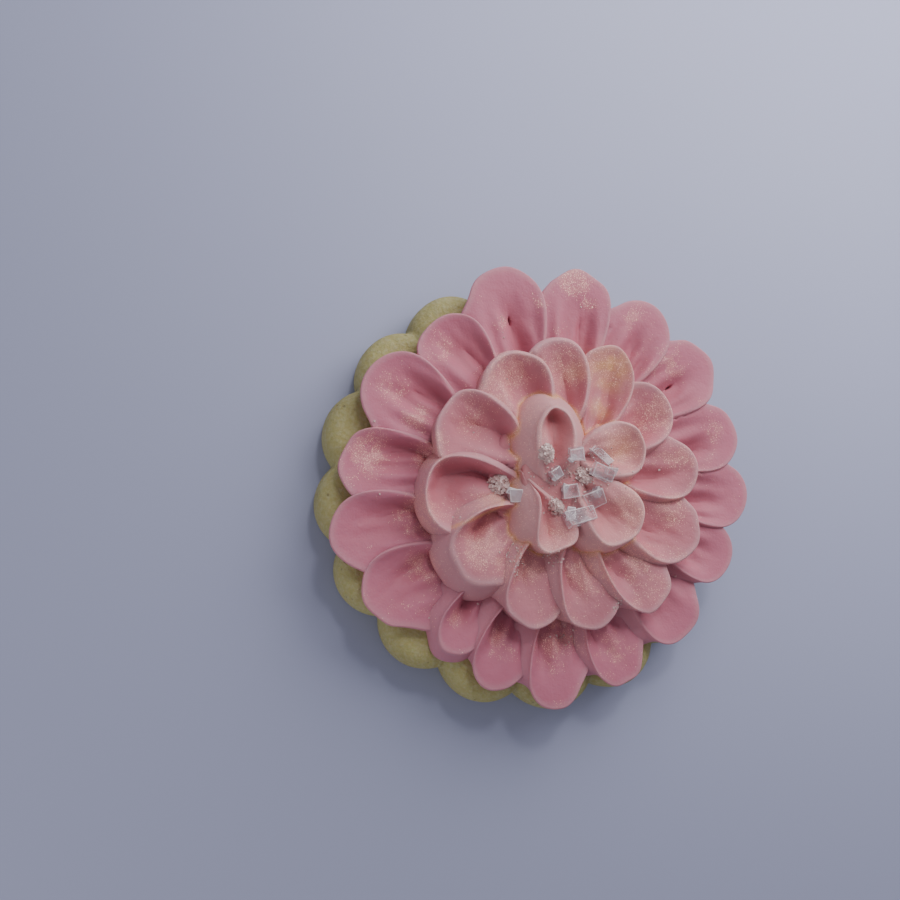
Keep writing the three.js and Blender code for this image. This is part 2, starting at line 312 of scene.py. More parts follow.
# Stage: the lamps' places and sizes, and the table's width, in metres
LAMPS = {
    "window": dict(place=(0.11, 0.17, 0.148), size=(0.25, 0.2)),
    "bounce": dict(place=(-0.2, -0.13, 0.07), size=(0.14, 0.1)),
    "glint": dict(place=(0.02, 0.24, 0.36), size=(0.05, 0.05)),
}
LAMP_COLOUR = (1, 0.98, 0.97)
ROOM_COLOUR = (0.95, 0.94, 1, 1)
TABLE_WIDTH = 4
# The camera's eye and aim over the cookie, its lens and its sensor's width, in millimetres
CAMERA_EYE = Vector((-55.6, -17.0, 163.7))
CAMERA_AIM = Vector((-14.1, 7.8, 0))
CAMERA_LENS = 36.1
CAMERA_SENSOR = 36


class IcingSettings(bpy.types.PropertyGroup):
    outer_pink: FloatVectorProperty(
        name="Outer pink", description="Colour of the outer petals", subtype="COLOR",
        size=3, min=0, max=1, default=(0.52, 0.172, 0.236),
    )
    inner_pink: FloatVectorProperty(
        name="Inner pink", description="Colour of the petals towards the heart", subtype="COLOR",
        size=3, min=0, max=1, default=(0.64, 0.275, 0.3),
    )
    pearl: FloatVectorProperty(
        name="Pearl dust", description="Colour of the pearl dust", subtype="COLOR",
        size=3, min=0, max=1, default=(0.86, 0.42, 0.34),
    )
    gold: FloatVectorProperty(
        name="Gold dust", description="Colour of the dust in the seams", subtype="COLOR",
        size=3, min=0, max=1, default=(0.74, 0.39, 0.16),
    )
    dust: FloatProperty(
        name="Dust", description="How much pearl dust lies on the petals",
        default=0.85, min=0, max=1, subtype="FACTOR",
    )
    seed: IntProperty(name="Seed", description="Unevenness of the piping", default=7, min=0)


class BiscuitSettings(bpy.types.PropertyGroup):
    crumb: FloatVectorProperty(
        name="Crumb", description="Colour of the pale biscuit", subtype="COLOR",
        size=3, min=0, max=1, default=(0.39, 0.35, 0.135),
    )
    speck: FloatVectorProperty(
        name="Speck", description="Colour of the dark specks", subtype="COLOR",
        size=3, min=0, max=1, default=(0.16, 0.12, 0.05),
    )


class SugarSettings(bpy.types.PropertyGroup):
    grain: FloatProperty(
        name="Grain", description="Width of a fine sugar grain", default=0.0003, min=0.0001, max=0.002,
        unit="LENGTH", subtype="DISTANCE",
    )
    density: FloatProperty(
        name="Density", description="Fine grains on each square metre of a patch", default=3e6, min=0,
    )
    seed: IntProperty(name="Seed", description="Places of the fine grains", default=11, min=0)


class StageSettings(bpy.types.PropertyGroup):
    floor: FloatVectorProperty(
        name="Floor", description="Colour of the table", subtype="COLOR",
        size=3, min=0, max=1, default=(0.385, 0.41, 0.6),
    )
    window: FloatProperty(
        name="Window", description="Power of the soft main light",
        default=0.69, min=0, subtype="POWER", unit="POWER",
    )
    bounce: FloatProperty(
        name="Bounce", description="Power of the low lamp that lights the walls turned away from the window",
        default=0.1, min=0, subtype="POWER", unit="POWER",
    )
    glint: FloatProperty(
        name="Glint", description="Power of the small lamp that the crystals mirror",
        default=0.3, min=0, subtype="POWER", unit="POWER",
    )
    room: FloatProperty(
        name="Room", description="Strength of the light from all round", default=0.34, min=0,
    )


def mix(a, b, t):
    """The value a share t of the way from a to b."""
    return a + (b - a) * t


def smooth(x, low, high):
    """An eased step from 0 below low to 1 above high."""
    t = np.clip((x - low) / (high - low), 0, 1)
    return t * t * (3 - 2 * t)


def strip_caps(count, first, flip):
    """Faces that close a ring, joining each point to the one across it."""
    faces = [(0, 1, count - 1)]
    for i in range(1, count // 2 - 1):
        faces.append((i, i + 1, count - i - 1, count - i))
    faces.append((count // 2 - 1, count // 2, count // 2 + 1))
    step = -1 if flip else 1
    return [tuple(first + corner for corner in face[::step]) for face in faces]


def ring_faces(rings, count):
    """Faces of a closed solid made of rings, lowest first, each counter-clockwise from above."""
    faces = strip_caps(count, 0, True)
    for level in range(rings - 1):
        for i in range(count):
            a = level * count + i
            b = level * count + (i + 1) % count
            faces.append((a, b, b + count, a + count))
    return faces + strip_caps(count, (rings - 1) * count, False)


def waves(rng, amount, low, high, terms=4):
    """A gentle unevenness round a petal or the biscuit, as a few waves of random phase."""
    parts = [(rng.uniform(0.4, 1), rng.randint(low, high), rng.uniform(0, TAU)) for _ in range(terms)]
    total = sum(part[0] for part in parts)
    return lambda around: amount * sum(w * np.sin(k * around + p) for w, k, p in parts) / total


def hollow_curve(shape, share, left, tipward):
    """Height of the hollow, from 0 in the valley to 1 at the rim, at a share of the way between them."""
    steep = share * share * (3 - 2 * share)
    hump = np.sin(math.pi / 2 * share**0.75)
    dish = mix(1 - (1 - share) ** 1.7, share**1.9, shape["bowl"])
    return mix(mix(steep, hump, left), dish, tipward)


def pin_hole(shape, inward, across):
    """Depth of a petal's pin-hole at places measured from where the petal swings about."""
    off = np.hypot((inward + PINHOLE_PLACE) / PINHOLE_LENGTH, across / PINHOLE_WIDTH)
    return shape["pinhole"] * np.exp(-off**2)


def petal_rows(shape, rng, sides):
    """Points of one petal in its own frame, with depth and nearness to the lip: rows from foot to valley."""
    around = TAU * np.arange(sides) / sides
    along = (1 + np.cos(around)) / 2
    root = shape["root"]
    length = shape["reach"] - root
    half = shape["width"] / 2
    egg = shape["egg"]
    widest = math.sin(math.pi * WIDEST) * (1 + egg * math.cos(math.pi * WIDEST))
    edge_wave = waves(rng, EDGE_WAVE, 2, 8)
    rim_wave = waves(rng, RIM_WAVE, 1, 4)
    pleat_phase = rng.uniform(0, TAU)
    pleat_count = rng.uniform(1.3, 1.9)

    # Outline
    out = root + length * along * (1 + edge_wave(around))
    side = half * np.sin(around) * (1 + egg * np.cos(around)) / widest * (1 + edge_wave(around + 1))
    side = side * np.clip(along, 0.001, 1) ** shape["narrow"]
    left = smooth(side / half, -0.55, 0.55)
    side = side * (1 + shape["spread"] * left * (1 - smooth(along, 0.5, 0.85)))

    # Heights of the rim and the valley, and the line that the valley follows
    rise = smooth(along, 0, FULL_HEIGHT)
    tipward = smooth(along, 0.5, 0.95)
    middle = smooth(along, 0.05, 0.35) * (1 - smooth(along, 0.55, 0.95))
    spine = root + length * mix(VALLEY_START, shape["hollow"], along)
    spine_side = shape["lean"] * shape["width"] * smooth(along, 0, 0.6)
    reach = np.hypot(out - spine, side - spine_side)
    thick = mix(shape["thick_root"], shape["thick_tip"], smooth(along, 0.4, 0.85))
    brow = thick * 0.8 + 0.1
    crest = mix(shape["rim_root"], shape["rim_tip"] + shape["lift"], rise)
    crest = crest + rim_wave(around) * rise
    crest = crest - shape["droop"] * smooth(along, 0.7, 1)
    crest = crest + middle * (shape["ridge"] * (1 - left) - shape["slump"] * left)
    floor = mix(shape["valley_root"], shape["valley_tip"], rise)
    swing = math.radians(shape["swing"])
    pivot = root + 0.7 * length
    rows = []

    def row(share, step, height, lip):
        """Adds a ring of points at a share of the way from valley to outline, plus a step, at a height."""
        part = share + step / reach
        x = mix(spine, out, part)
        y = mix(spine_side, side, part)
        y = y + shape["bend"] * np.sin(math.pi * along) - shape["sway"] * (1 - along) ** 2
        turned_x = pivot + (x - pivot) * math.cos(swing) - y * math.sin(swing)
        turned_y = (x - pivot) * math.sin(swing) + y * math.cos(swing)
        depth = np.clip((crest - height) / FULL_DEPTH, 0, 1) * (lip == 0)
        rows.append((turned_x, turned_y, height, depth, np.full(sides, lip)))

    # Wall, rim and hollow
    foot_step = mix(mix(shape["flare"], shape["skirt"], left), -shape["undercut"], tipward)
    foot_step = foot_step * smooth(along, 0, 0.1)
    bead = shape["bead"] * (1 - left) * smooth(along, 0.02, 0.2) * (1 - smooth(along, 0.4, 0.75))
    for t in np.linspace(0, 1, WALL_ROWS, endpoint=False):
        height = mix(shape["foot"], crest - brow, t)
        off_bead = (crest - height - BEAD_BELOW_RIM) / BEAD_SPREAD
        step = foot_step * math.sin(math.pi / 2 * (1 - t)) + bead * np.exp(-(off_bead**2))
        # The wall's lip mark is at least 0.7, so the wall takes the lips' painted highlight.
        row(1, step, height, max(0.7, 4 * t - 3))
    for t in np.linspace(0, 1, LIP_ROWS, endpoint=False):
        turn = t * math.pi / 2
        row(1, -thick * (1 - math.cos(turn)), crest - brow * (1 - math.sin(turn)), 1)
    for t in np.linspace(0, 1, CUP_ROWS):
        share = 1 - t * 0.985
        here = mix(spine, out, share)
        here_side = mix(spine_side, side, share)
        curve = hollow_curve(shape, share, left, tipward)
        pit = pin_hole(shape, here - pivot, here_side - spine_side)
        arch = mix(shape["belly"] * left, shape["arch"], tipward) * math.sin(math.pi * share)
        fade = 1 - smooth((here - root) / length, 0.35, 0.85)
        pleats = np.sin(TAU * pleat_count * here_side / shape["width"] * 2 + pleat_phase)
        arch = arch + shape["pleat"] * pleats * fade * math.sin(math.pi * share)
        row(share, -thick * share, floor + (crest - floor) * curve + arch - pit, max(0, 1 - 9 * t))
    return np.array(rows).transpose(0, 2, 1)


def petal_part(shape, rng, sides):
    """One petal in the cookie's frame: points, faces, and how deep and how near the lip each point is."""
    rows = petal_rows(shape, rng, sides)
    turn = math.radians(shape["turn"])
    points = rows.reshape(-1, 5)
    places = [(out / LUMP_LENGTH, side / LUMP_WIDTH, shape["turn"]) for out, side in points[:, :2]]
    lumps = [noise.noise(Vector(place)) for place in places]
    points[:, 2] += LUMP_HEIGHT * np.array(lumps) * np.clip(points[:, 3] * 2, 0, 1)
    x = FLOWER[0] + shape["shift"][0] + points[:, 0] * math.cos(turn) - points[:, 1] * math.sin(turn)
    y = FLOWER[1] + shape["shift"][1] + points[:, 0] * math.sin(turn) + points[:, 1] * math.cos(turn)
    faces = ring_faces(len(rows), sides)
    return [np.stack([x, y, points[:, 2]], axis=1), faces, points[:, 3], points[:, 4]]


def tuck(part, over, sides):
    """Presses a petal down where its neighbour's top lies over it, so that its edge ends under that top."""
    first = (WALL_ROWS + 1) * sides
    strips = [face for face in over[1] if len(face) == 4 and min(face) >= first]
    tree = BVHTree.FromPolygons(over[0].tolist(), strips)
    points = part[0]
    for index, (x, y, z) in enumerate(points):
        hit = tree.ray_cast(Vector((x, y, 60)), Vector((0, 0, -1)))[0]
        if hit is not None and z > hit.z - TUCK_GAP:
            points[index, 2] = hit.z - TUCK_GAP


def core_mesh(tier, sides=96):
    """The low mound under a tier's petals."""
    around = TAU * np.arange(sides) / sides
    rings = []
    top = tier["core_top"]
    profile = ((0.96, tier["foot"]), (1, top - 0.8), (0.97, top - 0.2), (0.9, top), (0.05, top + 0.05))
    for radius, height in profile:
        x = FLOWER[0] + radius * tier["core"] * np.cos(around)
        y = FLOWER[1] + radius * tier["core"] * np.sin(around)
        rings.append(np.stack([x, y, np.full(sides, height)], axis=1))
    count = len(rings) * sides
    bare = np.zeros(count)
    # The mound carries a hollow mark of 0.6, so it takes the hollows' painted shade.
    return np.concatenate(rings), ring_faces(len(rings), sides), np.full(count, 0.6), bare, bare, bare


def mesh_object(name, parts):
    """One object from parts of vertices (millimetres), faces and attributes hollow, lip, gilt and dust."""
    points = []
    faces = []
    first = 0
    for part in parts:
        points.append(part[0])
        faces += [tuple(first + corner for corner in face) for face in part[1]]
        first += len(part[0])
    mesh = bpy.data.meshes.new(name)
    mesh.from_pydata((np.concatenate(points) * MM).tolist(), [], faces)
    for index, title in ((2, "hollow"), (3, "lip"), (4, "gilt"), (5, "dust")):
        if len(parts[0]) > index:
            layer = mesh.attributes.new(title, "FLOAT", "POINT")
            values = np.concatenate([part[index] for part in parts])
            layer.data.foreach_set("value", values.astype(np.float32))
    mesh.shade_smooth()
    mesh.update()
    piece = bpy.data.objects.new(name, mesh)
    bpy.context.scene.collection.objects.link(piece)
    return piece


def surface_tree(piece):
    """A tree of a piece's faces, for rays and nearest points."""
    mesh = piece.data
    return BVHTree.FromPolygons([v.co for v in mesh.vertices], [face.vertices for face in mesh.polygons])


def patch_share(places, patches):
    """How much dust lies at each place, from soft round patches."""
    share = np.zeros(len(places))
    for x, y, spread, strength in patches:
        off = np.hypot(places[:, 0] - x, places[:, 1] - y)
        share = np.maximum(share, strength * np.exp(-((off / spread) ** 2)))
    return share


def seam_share(places, seam):
    """How much dust lies at each place, from its distance to a seam."""
    share = np.zeros(len(places))
    for start, end in zip(seam[:-1], seam[1:]):
        run = end - start
        part = np.clip((places - start) @ run / (run @ run), 0, 1)
        off = np.linalg.norm(places - start - part[:, None] * run, axis=1)
        share = np.maximum(share, np.exp(-((off / SEAM_WIDTH) ** 2)))
    return share


def gild_joint(piece, other):
    """Adds golden dust to a piece where it meets another one."""
    tree = surface_tree(other)
    layer = piece.data.attributes["gilt"]
    for vertex, value in zip(piece.data.vertices, layer.data):
        nearest = tree.find_nearest(vertex.co, JOINT_REACH * MM)
        if nearest[0] is not None:
            value.value = max(value.value, math.exp(-((nearest[3] / MM / JOINT_WIDTH) ** 2)))


def tier_object(name, tier, petals, seed, sides):
    """A tier of petals on its mound, each a little different and, in a full ring, pressed under the next."""
    rng = random.Random(seed)
    parts = [petal_part({**PLAIN_PETAL, **tier, **petal}, rng, sides) for petal in petals]
    laid = [[part[0].copy(), part[1]] for part in parts]
    if len(parts) > MOST_FREE:
        for index, part in enumerate(parts):
            tuck(part, laid[index - 1], sides)
    for part in parts:
        places = part[0][:, :2]
        part.append(np.maximum(patch_share(places, GILT_PATCHES), seam_share(places, GILT_SEAM)))
        part.append(patch_share(places, DUST_PATCHES))
    return mesh_object(name, [core_mesh(tier)] + parts)


def biscuit_edge(angle, inset):
    """Distance from the biscuit's centre to its edge: the arc of the nearest lobe, notches softened."""
    step = TAU / LOBES
    total = 0
    for shift, weight in ((-NOTCH_BLUR, 0.25), (0, 0.5), (NOTCH_BLUR, 0.25)):
        off = angle + shift - math.radians(LOBE_PHASE)
        off = off - np.round(off / step) * step
        radius = LOBE_RADIUS - inset
        across = np.sqrt(radius**2 - (LOBE_CIRCLE * np.sin(off)) ** 2)
        total = total + weight * (LOBE_CIRCLE * np.cos(off) + across)
    return total


def biscuit_profile():
    """Inset from the edge and height, from the underside round the soft edge to the top, in millimetres."""
    profile = [(30, 0), (12, 0), (2, 0), (0.75, 0)]
    for a in np.linspace(0.15, math.pi / 2, 6):
        profile.append((FOOT_ROUND * (1 - math.sin(a)), FOOT_ROUND * (1 - math.cos(a))))
    for t in np.linspace(0.15, 1, 7):
        profile.append((-SIDE_BULGE * math.sin(math.pi * t), mix(FOOT_ROUND, SIDE_TOP, t)))
    for a in np.linspace(0.12, math.pi / 2, 14):
        profile.append((TOP_ROUND * (1 - math.cos(a)), BISCUIT_THICKNESS - TOP_FALL * (1 - math.sin(a))))
    profile += [(inset, BISCUIT_THICKNESS) for inset in (4.5, 6, 9, 14, 22, 32)]
    return profile


def biscuit_parts(seed, sides=480):
    """The scalloped biscuit, its edge a little uneven."""
    rng = random.Random(seed)
    around = TAU * np.arange(sides) / sides + math.radians(LOBE_PHASE - 180 / LOBES)
    uneven = waves(rng, EDGE_UNEVEN, 3, 23, 8)
    worn = (np.degrees(around) % 360 - WORN_DIRECTION) / WORN_SPREAD
    rings = []
    for inset, height in biscuit_profile():
        lobe_inset = np.clip(inset, -1, LOBE_INSET)
        radius = biscuit_edge(around, lobe_inset) - max(0, inset - LOBE_INSET)
        radius = radius + uneven(around) - EDGE_INSET - WORN_DEPTH * np.exp(-(worn**2))
        dip = EDGE_DIP * np.sin(9 * around + inset) * min(1, height / 2) * (height < BISCUIT_THICKNESS)
        rings.append(np.stack([radius * np.cos(around), radius * np.sin(around), height + dip], axis=1))
    return [(np.concatenate(rings), ring_faces(len(rings), sides))]


class Value:
    """A shader socket that can be used in sums."""

    def __init__(self, paint, socket):
        self.paint = paint
        self.socket = socket

    def __add__(self, other):
        return self.paint.math("ADD", self, other)

    def __radd__(self, other):
        return self.paint.math("ADD", other, self)

    def __sub__(self, other):
        return self.paint.math("SUBTRACT", self, other)

    def __rsub__(self, other):
        return self.paint.math("SUBTRACT", other, self)

    def __mul__(self, other):
        return self.paint.math("MULTIPLY", self, other)

    def __rmul__(self, other):
        return self.paint.math("MULTIPLY", other, self)

    def above(self, level):
        return self.paint.math("GREATER_THAN", self, level)

    def range(self, low, high, to_low=0.0, to_high=1.0):
        """This value's stretch from low to high, eased to run from to_low to to_high."""
        node = self.paint.node(
            "ShaderNodeMapRange",
            dict(interpolation_type="SMOOTHSTEP"),
            {"Value": self, "From Min": low, "From Max": high, "To Min": to_low, "To Max": to_high},
        )
        return Value(self.paint, node.outputs["Result"])


class Paint:
    """A node material under construction."""

    def __init__(self, name):
        self.material = bpy.data.materials.new(name)
        self.material.use_nodes = True
        self.tree = self.material.node_tree
        self.surface = self.tree.nodes["Principled BSDF"]
        place = self.node("ShaderNodeTexCoord")
        self.place = Value(self, place.outputs["Object"])

    def node(self, kind, settings=None, inputs=None):
        """Any node, from its type, its settings and the values or links of its sockets."""
        node = self.tree.nodes.new(kind)
        for name, value in (settings or {}).items():
            setattr(node, name, value)
        for name, value in (inputs or {}).items():
            self.feed(node.inputs[name], value)
        return node

    def feed(self, socket, value):
        """Links a value to a socket, or sets the socket to a number or colour."""
        if isinstance(value, Value):
            self.tree.links.new(value.socket, socket)
        else:
            socket.default_value = value

    def math(self, operation, first, second):
        node = self.node("ShaderNodeMath", dict(operation=operation), {0: first, 1: second})
        return Value(self, node.outputs[0])

    def blend(self, factor, first, second):
        """A mix of two colours."""
        node = self.node("ShaderNodeMix", dict(data_type="RGBA"), {"Factor": factor})
        self.feed(node.inputs[6], first)
        self.feed(node.inputs[7], second)
        return Value(self, node.outputs[2])

    def noise(self, scale, detail=3.0, roughness=0.55):
        node = self.node(
            "ShaderNodeTexNoise", None,
            {"Vector": self.place, "Scale": scale, "Detail": detail, "Roughness": roughness},
        )
        return Value(self, node.outputs["Fac"])

    def cells(self, scale):
        return self.node("ShaderNodeTexVoronoi", None, {"Vector": self.place, "Scale": scale})

    def bump(self, height, strength, distance):
        inputs = {"Strength": strength, "Distance": distance, "Height": height}
        node = self.node("ShaderNodeBump", None, inputs)
        return Value(self, node.outputs[0])

    def vector(self, operation, inputs, output="Vector"):
        node = self.node("ShaderNodeVectorMath", dict(operation=operation), inputs)
        return Value(self, node.outputs[output])

    def attribute(self, name):
        node = self.node("ShaderNodeAttribute", dict(attribute_name=name))
        return Value(self, node.outputs["Fac"])

    def part(self, vector, axis):
        node = self.node("ShaderNodeSeparateXYZ", None, {0: vector})
        return Value(self, node.outputs[axis])

    def finish(self, **sockets):
        """Feeds the surface's sockets and gives the finished material."""
        for name, value in sockets.items():
            self.feed(self.surface.inputs[name.replace("_", " ")], value)
        return self.material


def colour(value):
    """A colour as a socket takes it."""
    return (*value, 1.0)


def shaded(value, factor):
    """A colour made darker by a factor."""
    return colour([part * factor for part in value])


def paler(value, target, share):
    """A colour moved towards a grey by a share."""
    return colour([mix(part, target, share) for part in value])


def icing_material(name, settings, base, warmth, edge):
    """Satin royal icing with pearl dust, painted shade in its hollows and a painted highlight on its lips
    and walls: warmth adds dust everywhere, edge is how much painted highlight the lips and walls get.
    """
    paint = Paint(name)
    hollow = paint.attribute("hollow")
    lip = paint.attribute("lip")
    gilt = paint.attribute("gilt")
    dust = paint.attribute("dust")
    from_heart = paint.vector("DISTANCE", {0: paint.place, 1: HEART}, "Value")
    nearness = 1 - from_heart * (1 / FLOWER_RADIUS)

    # Dust: laid patches, a thin haze towards the heart, and more in the golden seams
    patches = paint.noise(150, 3, 0.6).range(0.42, 0.64)
    clouds = paint.noise(420, 2, 0.6).range(0.35, 0.62)
    haze = (patches * clouds * 0.35 + nearness * 0.25 + warmth) * (1 - hollow * 0.7)
    dusty = (dust * (0.5 + 0.8 * clouds) + haze + gilt * 0.75).range(0.12, 1.0) * settings.dust

    # Flecks: small cells of pearl dust with a painted sparkle, more of them where the dust lies thick
    cells = paint.cells(FLECKS_PER_METRE)
    fleck = Value(paint, cells.outputs["Color"])
    chance = paint.part(fleck, "X")
    shine = paint.part(fleck, "Y")
    bright = (chance + dusty * 0.95).above(1.0)
    dot = 1 - Value(paint, cells.outputs["Distance"]).range(0.25, 0.5)
    glint = bright * dot * (0.25 + 0.75 * shine)

    # Colour, from the icing up to the flecks
    # Painted shade: down in the hollows, and on the mound under the petals, the icing is darkened and
    # reddened by the hollow mark.
    hollow_painted_shade = colour([base[0] * 0.92, base[1] * 0.74, base[2] * 0.74])
    cool = colour([base[0], base[1] * 0.97, base[2] * 1.03])
    pink = paint.blend(paint.noise(110, 3).range(0.3, 0.7), colour(base), shaded(base, 0.84))
    pink = paint.blend(nearness.range(0.45, 0.12), pink, cool)
    pink = paint.blend(hollow * 0.75, pink, hollow_painted_shade)
    # Painted highlight: the lips and walls are moved towards a paler pink.
    pink = paint.blend(lip * edge, pink, paler(base, 0.72, 0.4))
    pink = paint.blend(dusty * 0.24, pink, colour(settings.pearl))
    pink = paint.blend(gilt * (0.4 + 0.6 * clouds) * 0.8, pink, colour(settings.gold))
    # The flecks are partly real pearl dust and partly a painted sparkle: they are lightened past the dust's
    # colour, and the brightest are lightened to near white.
    pink = paint.blend(glint, pink, colour([min(1, part * 1.1 + 0.08) for part in settings.pearl]))
    pink = paint.blend(glint * shine.range(0.6, 0.9), pink, FLECK_PAINTED_SPARKLE)

    # Bumps of the icing, and each fleck tilted its own way
    height = paint.noise(330, 3) * 0.6 + paint.noise(2600, 2) * 0.2 + paint.noise(900, 2) * 0.3
    bump = paint.bump(height, 0.5, 0.0005)
    tilt = paint.vector("SUBTRACT", {0: fleck, 1: (0.5, 0.5, 0.5)})
    tilt = paint.vector("SCALE", {0: tilt, "Scale": glint * 0.9})
    tilted = paint.vector("ADD", {0: bump, 1: tilt})
    return paint.finish(
        Base_Color=pink,
        Roughness=0.58 - dusty * 0.1 - glint * 0.2,
        Metallic=glint * 0.2,
        Normal=paint.vector("NORMALIZE", {0: tilted}),
        Subsurface_Weight=0.15,
        Subsurface_Radius=(1.0, 0.4, 0.35),
        Subsurface_Scale=0.0018,
        Specular_IOR_Level=0.32,
    )


def biscuit_material(settings):
    """Pale baked crumb, cloudy and grainy, with dark specks here and there."""
    paint = Paint("baked_biscuit")
    large = paint.noise(90, 4)
    grain = paint.noise(1500, 3, 0.65)
    specks = Value(paint, paint.cells(650).outputs["Distance"])
    spots = paint.noise(260, 2)
    dark = (1 - specks.range(0.1, 0.24)) * spots.range(0.5, 0.62)
    crumb = paint.blend(large.range(0.35, 0.65), colour(settings.crumb), shaded(settings.crumb, 0.84))
    crumb = paint.blend(grain.range(0.35, 0.75) * 0.35, crumb, paler(settings.crumb, 0.8, 0.35))
    crumb = paint.blend(dark * 0.55, crumb, colour(settings.speck))
    height = grain * 0.5 + paint.noise(480, 4, 0.6) + large * 1.4 - dark * 0.3
    return paint.finish(
        Base_Color=crumb,
        Roughness=0.86 - grain * 0.08,
        Normal=paint.bump(height, 0.75, 0.0005),
        Subsurface_Weight=0.06,
        Subsurface_Scale=0.001,
    )


def sugar_material(name, tint, body, frost):
    """Sugar, see-through in its faces, with a painted highlight along the blocks' edges: body is how much
    they cover, frost is how dull they are.
    """
    paint = Paint(name)
    cloud = paint.noise(650, 3)
    edge = paint.attribute("edge")
    height = paint.noise(1700, 3) + paint.noise(5200, 2) * 0.4
    shade = paint.blend(cloud.range(0.4, 0.65), colour(tint), shaded(tint, 0.85))
    milky = paint.noise(190, 2).range(0.35, 0.65, body - 0.2, body + 0.2)
    # Painted highlight: the marked edges are lightened towards near white and made more opaque.
    return paint.finish(
        Base_Color=paint.blend(edge * 0.5, shade, EDGE_PAINTED_HIGHLIGHT),
        Roughness=cloud.range(0.35, 0.7, 0.04, 0.04 + frost),
        Alpha=(milky + cloud.range(0.35, 0.65) * 0.1 + edge * 0.3).range(0, 1),
        Normal=paint.bump(height, 0.4, 0.0002),
        Transmission_Weight=0.3,
        IOR=1.55,
    )


def floor_material(settings):
    """Plain pale table top with painted shade, a little darker away from the window, towards the lower left.
    """
    paint = Paint("pale_table")
    tone = paint.noise(9, 2).range(0.3, 0.7)
    shade = paint.blend(tone, colour(settings.floor), shaded(settings.floor, 0.97))
    # Painted shade: the light's fall-off away from the window, darker towards the lower left.
    toward = paint.part(paint.place, "X") * 0.6 + paint.part(paint.place, "Y")
    shade = paint.blend(toward.range(0.09, -0.09), shade, shaded(settings.floor, 0.87))
    return paint.finish(Base_Color=shade, Roughness=0.6)


def surface_below(pieces):
    """A function that gives the height of the pieces' top under a place, in millimetres."""
    trees = [surface_tree(piece) for piece in pieces]

    def height(x, y):
        above = Vector((x * MM, y * MM, 0.1))
        hits = [tree.ray_cast(above, Vector((0, 0, -1)))[0] for tree in trees]
        return max(hit.z for hit in hits if hit is not None) / MM

    return height


def block(shape, rng, size, turn, middle):
    """Adds one rough sugar block to a bmesh: a cube with uneven corners, then turned and placed."""
    made = bmesh.ops.create_cube(shape, size=1)["verts"]
    for corner in made:
        corner.co = Vector([c * s * rng.uniform(*CORNERS) for c, s in zip(corner.co, size)])
    matrix = Matrix.Translation(Vector(middle)) @ turn.to_matrix().to_4x4()
    bmesh.ops.transform(shape, matrix=matrix, verts=made)


def mark_edges(shape):
    """Insets the large faces of sugar blocks and marks everything outside them with the attribute edge, for
    a painted highlight.
    """
    layer = shape.verts.layers.float.new("edge")
    faces = [face for face in shape.faces if face.calc_area() > MM * MM]
    bmesh.ops.inset_individual(shape, faces=faces, thickness=HIGHLIGHT_STRIP * MM)
    inside = {vertex for face in faces for vertex in face.verts}
    for vertex in shape.verts:
        vertex[layer] = 0 if vertex in inside else 1


def sugar_object(name, shape):
    """A finished object from a bmesh."""
    mesh = bpy.data.meshes.new(name)
    shape.normal_update()
    shape.to_mesh(mesh)
    shape.free()
    piece = bpy.data.objects.new(name, mesh)
    bpy.context.scene.collection.objects.link(piece)
    return piece


def sugar_blocks(settings, height):
    """Coarse crystals, each a rough block with a smaller one grown on it."""
    rng = random.Random(settings.seed)
    shape = bmesh.new()
    for crystal in CRYSTALS:
        x, y = crystal["at"]
        size = [CRYSTAL_SCALE * s * MM for s in crystal["size"]]
        turn = Euler((math.radians(crystal["tilt"]), 0, math.radians(crystal["heading"])))
        middle = Vector((x, y, height(x, y) + crystal["size"][2] * PROUD)) * MM
        block(shape, rng, size, turn, middle)
        off = [GROWN_SIDEWAYS * s * rng.choice((-1, 1)) for s in size[:2]] + [GROWN_UP * size[2]]
        tilt = turn.x + rng.uniform(-GROWN_LEAN, GROWN_LEAN)
        roll = rng.uniform(-GROWN_LEAN, GROWN_LEAN)
        heading = turn.z + rng.uniform(*GROWN_TURNS)
        grown_size = [s * rng.uniform(*GROWN_SIZES) for s in size]
        block(shape, rng, grown_size, Euler((tilt, roll, heading)), middle + turn.to_matrix() @ Vector(off))
    bmesh.ops.bevel(
        shape, geom=shape.edges[:], offset=BEVEL * MM, segments=2, profile=0.55,
        affect="EDGES", clamp_overlap=True,
    )
    mark_edges(shape)
    return sugar_object("coarse_sugar", shape)


def sugar_clumps(settings, height):
    """Small heaps of fine crystals."""
    rng = random.Random(settings.seed + 1)
    shape = bmesh.new()
    for clump in CLUMPS:
        for _ in range(GRAINS_IN_CLUMP):
            angle = rng.uniform(0, TAU)
            spread = clump["width"] / 2 * math.sqrt(rng.random())
            x = clump["at"][0] + spread * math.cos(angle)
            y = clump["at"][1] + spread * math.sin(angle)
            crown = clump["height"] * (1 - (spread / clump["width"] * 2) ** 2)
            z = height(x, y) + rng.uniform(0, crown) * 0.7
            size = [rng.uniform(*GRAIN_SIZES) * MM for _ in range(3)]
            turn = Euler([rng.uniform(0, TAU) for _ in range(3)])
            block(shape, rng, size, turn, (x * MM, y * MM, z * MM))
    return sugar_object("sugar_clumps", shape)


